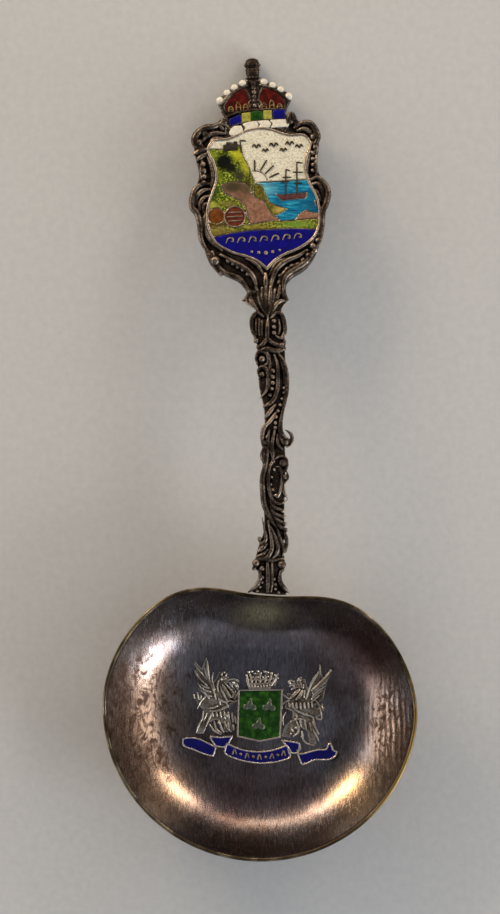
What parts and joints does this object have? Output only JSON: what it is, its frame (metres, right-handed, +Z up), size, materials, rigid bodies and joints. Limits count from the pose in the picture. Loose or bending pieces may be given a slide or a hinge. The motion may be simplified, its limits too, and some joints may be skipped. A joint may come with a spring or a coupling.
{
  "type": "souvenir spoon",
  "caption": "Silver souvenir spoon with a wide kidney-shaped bowl and enamelled badge, a scrolled cast stem and a finial with an enamelled landscape shield under a crown.",
  "frame": {"origin": "middle of the bowl's flat base, on the surface that the spoon lies on", "axes": "+Y along the stem from the bowl to the crown, +Z up out of the bowl, +X to the right of somebody looking down into the bowl with the crown away from them"},
  "size_m": [0.0473, 0.1204, 0.0119],
  "materials": {
    "silver_bowl": "tarnished silver, finely scratched, semi-gloss",
    "brassy_rim": "silver worn to a slightly brassy shine along the lip",
    "cast_silver": "oxidised cast silver, dark in the hollows and worn bright on the high points",
    "silver_trim": "struck and pierced silver, tarnished, satin",
    "enamel_cream": "glossy fired enamel",
    "enamel_white": "glossy fired enamel",
    "enamel_turquoise": "glossy fired enamel",
    "enamel_grass": "glossy fired enamel, translucent over a textured ground",
    "enamel_mauve": "glossy fired enamel",
    "enamel_amber": "glossy fired enamel",
    "enamel_brick": "glossy fired enamel",
    "enamel_grey": "glossy fired enamel",
    "enamel_blue": "glossy fired enamel",
    "enamel_red": "glossy fired enamel, translucent",
    "enamel_yellow": "glossy fired enamel",
    "enamel_green": "glossy fired enamel, translucent"
  },
  "bodies": {
    "root": {"bowl": "silver_bowl", "bowl_edge_wire": "brassy_rim", "stem": "cast_silver", "cartouche": "cast_silver", "crown_knop": "cast_silver", "shield_tray": "silver_trim", "crown_frame": "silver_trim", "badge_shield": "silver_trim", "badge_coronet": "silver_trim", "griffin_left": "silver_trim", "griffin_right": "silver_trim", "ribbon": "silver_trim", "enamel_sky": "enamel_cream", "enamel_sun": "enamel_white", "enamel_ermine_1": "enamel_white", "enamel_ermine_2": "enamel_white", "enamel_ermine_3": "enamel_white", "enamel_ermine_4": "enamel_white", "pearl_left_1": "enamel_white", "pearl_left_2": "enamel_white", "pearl_left_3": "enamel_white", "pearl_left_4": "enamel_white", "pearl_right_1": "enamel_white", "pearl_right_2": "enamel_white", "pearl_right_3": "enamel_white", "pearl_right_4": "enamel_white", "enamel_water": "enamel_turquoise", "enamel_cliff": "enamel_grass", "enamel_headland": "enamel_grass", "enamel_shore": "enamel_grass", "enamel_path": "enamel_mauve", "enamel_islet": "enamel_mauve", "enamel_roundel_left": "enamel_amber", "enamel_roundel_right": "enamel_brick", "enamel_ship_hull": "enamel_grey", "enamel_base": "enamel_blue", "enamel_band_blue_left": "enamel_blue", "enamel_band_blue_right": "enamel_blue", "ribbon_enamel_tail_left": "enamel_blue", "ribbon_enamel_fold_left": "enamel_blue", "ribbon_enamel_middle": "enamel_blue", "ribbon_enamel_fold_right": "enamel_blue", "ribbon_enamel_tail_right": "enamel_blue", "enamel_cap_left": "enamel_red", "enamel_cap_right": "enamel_red", "enamel_band_yellow_left": "enamel_yellow", "enamel_band_yellow_right": "enamel_yellow", "enamel_band_green": "enamel_green", "badge_enamel_green": "enamel_green"}
  },
  "joints": []
}
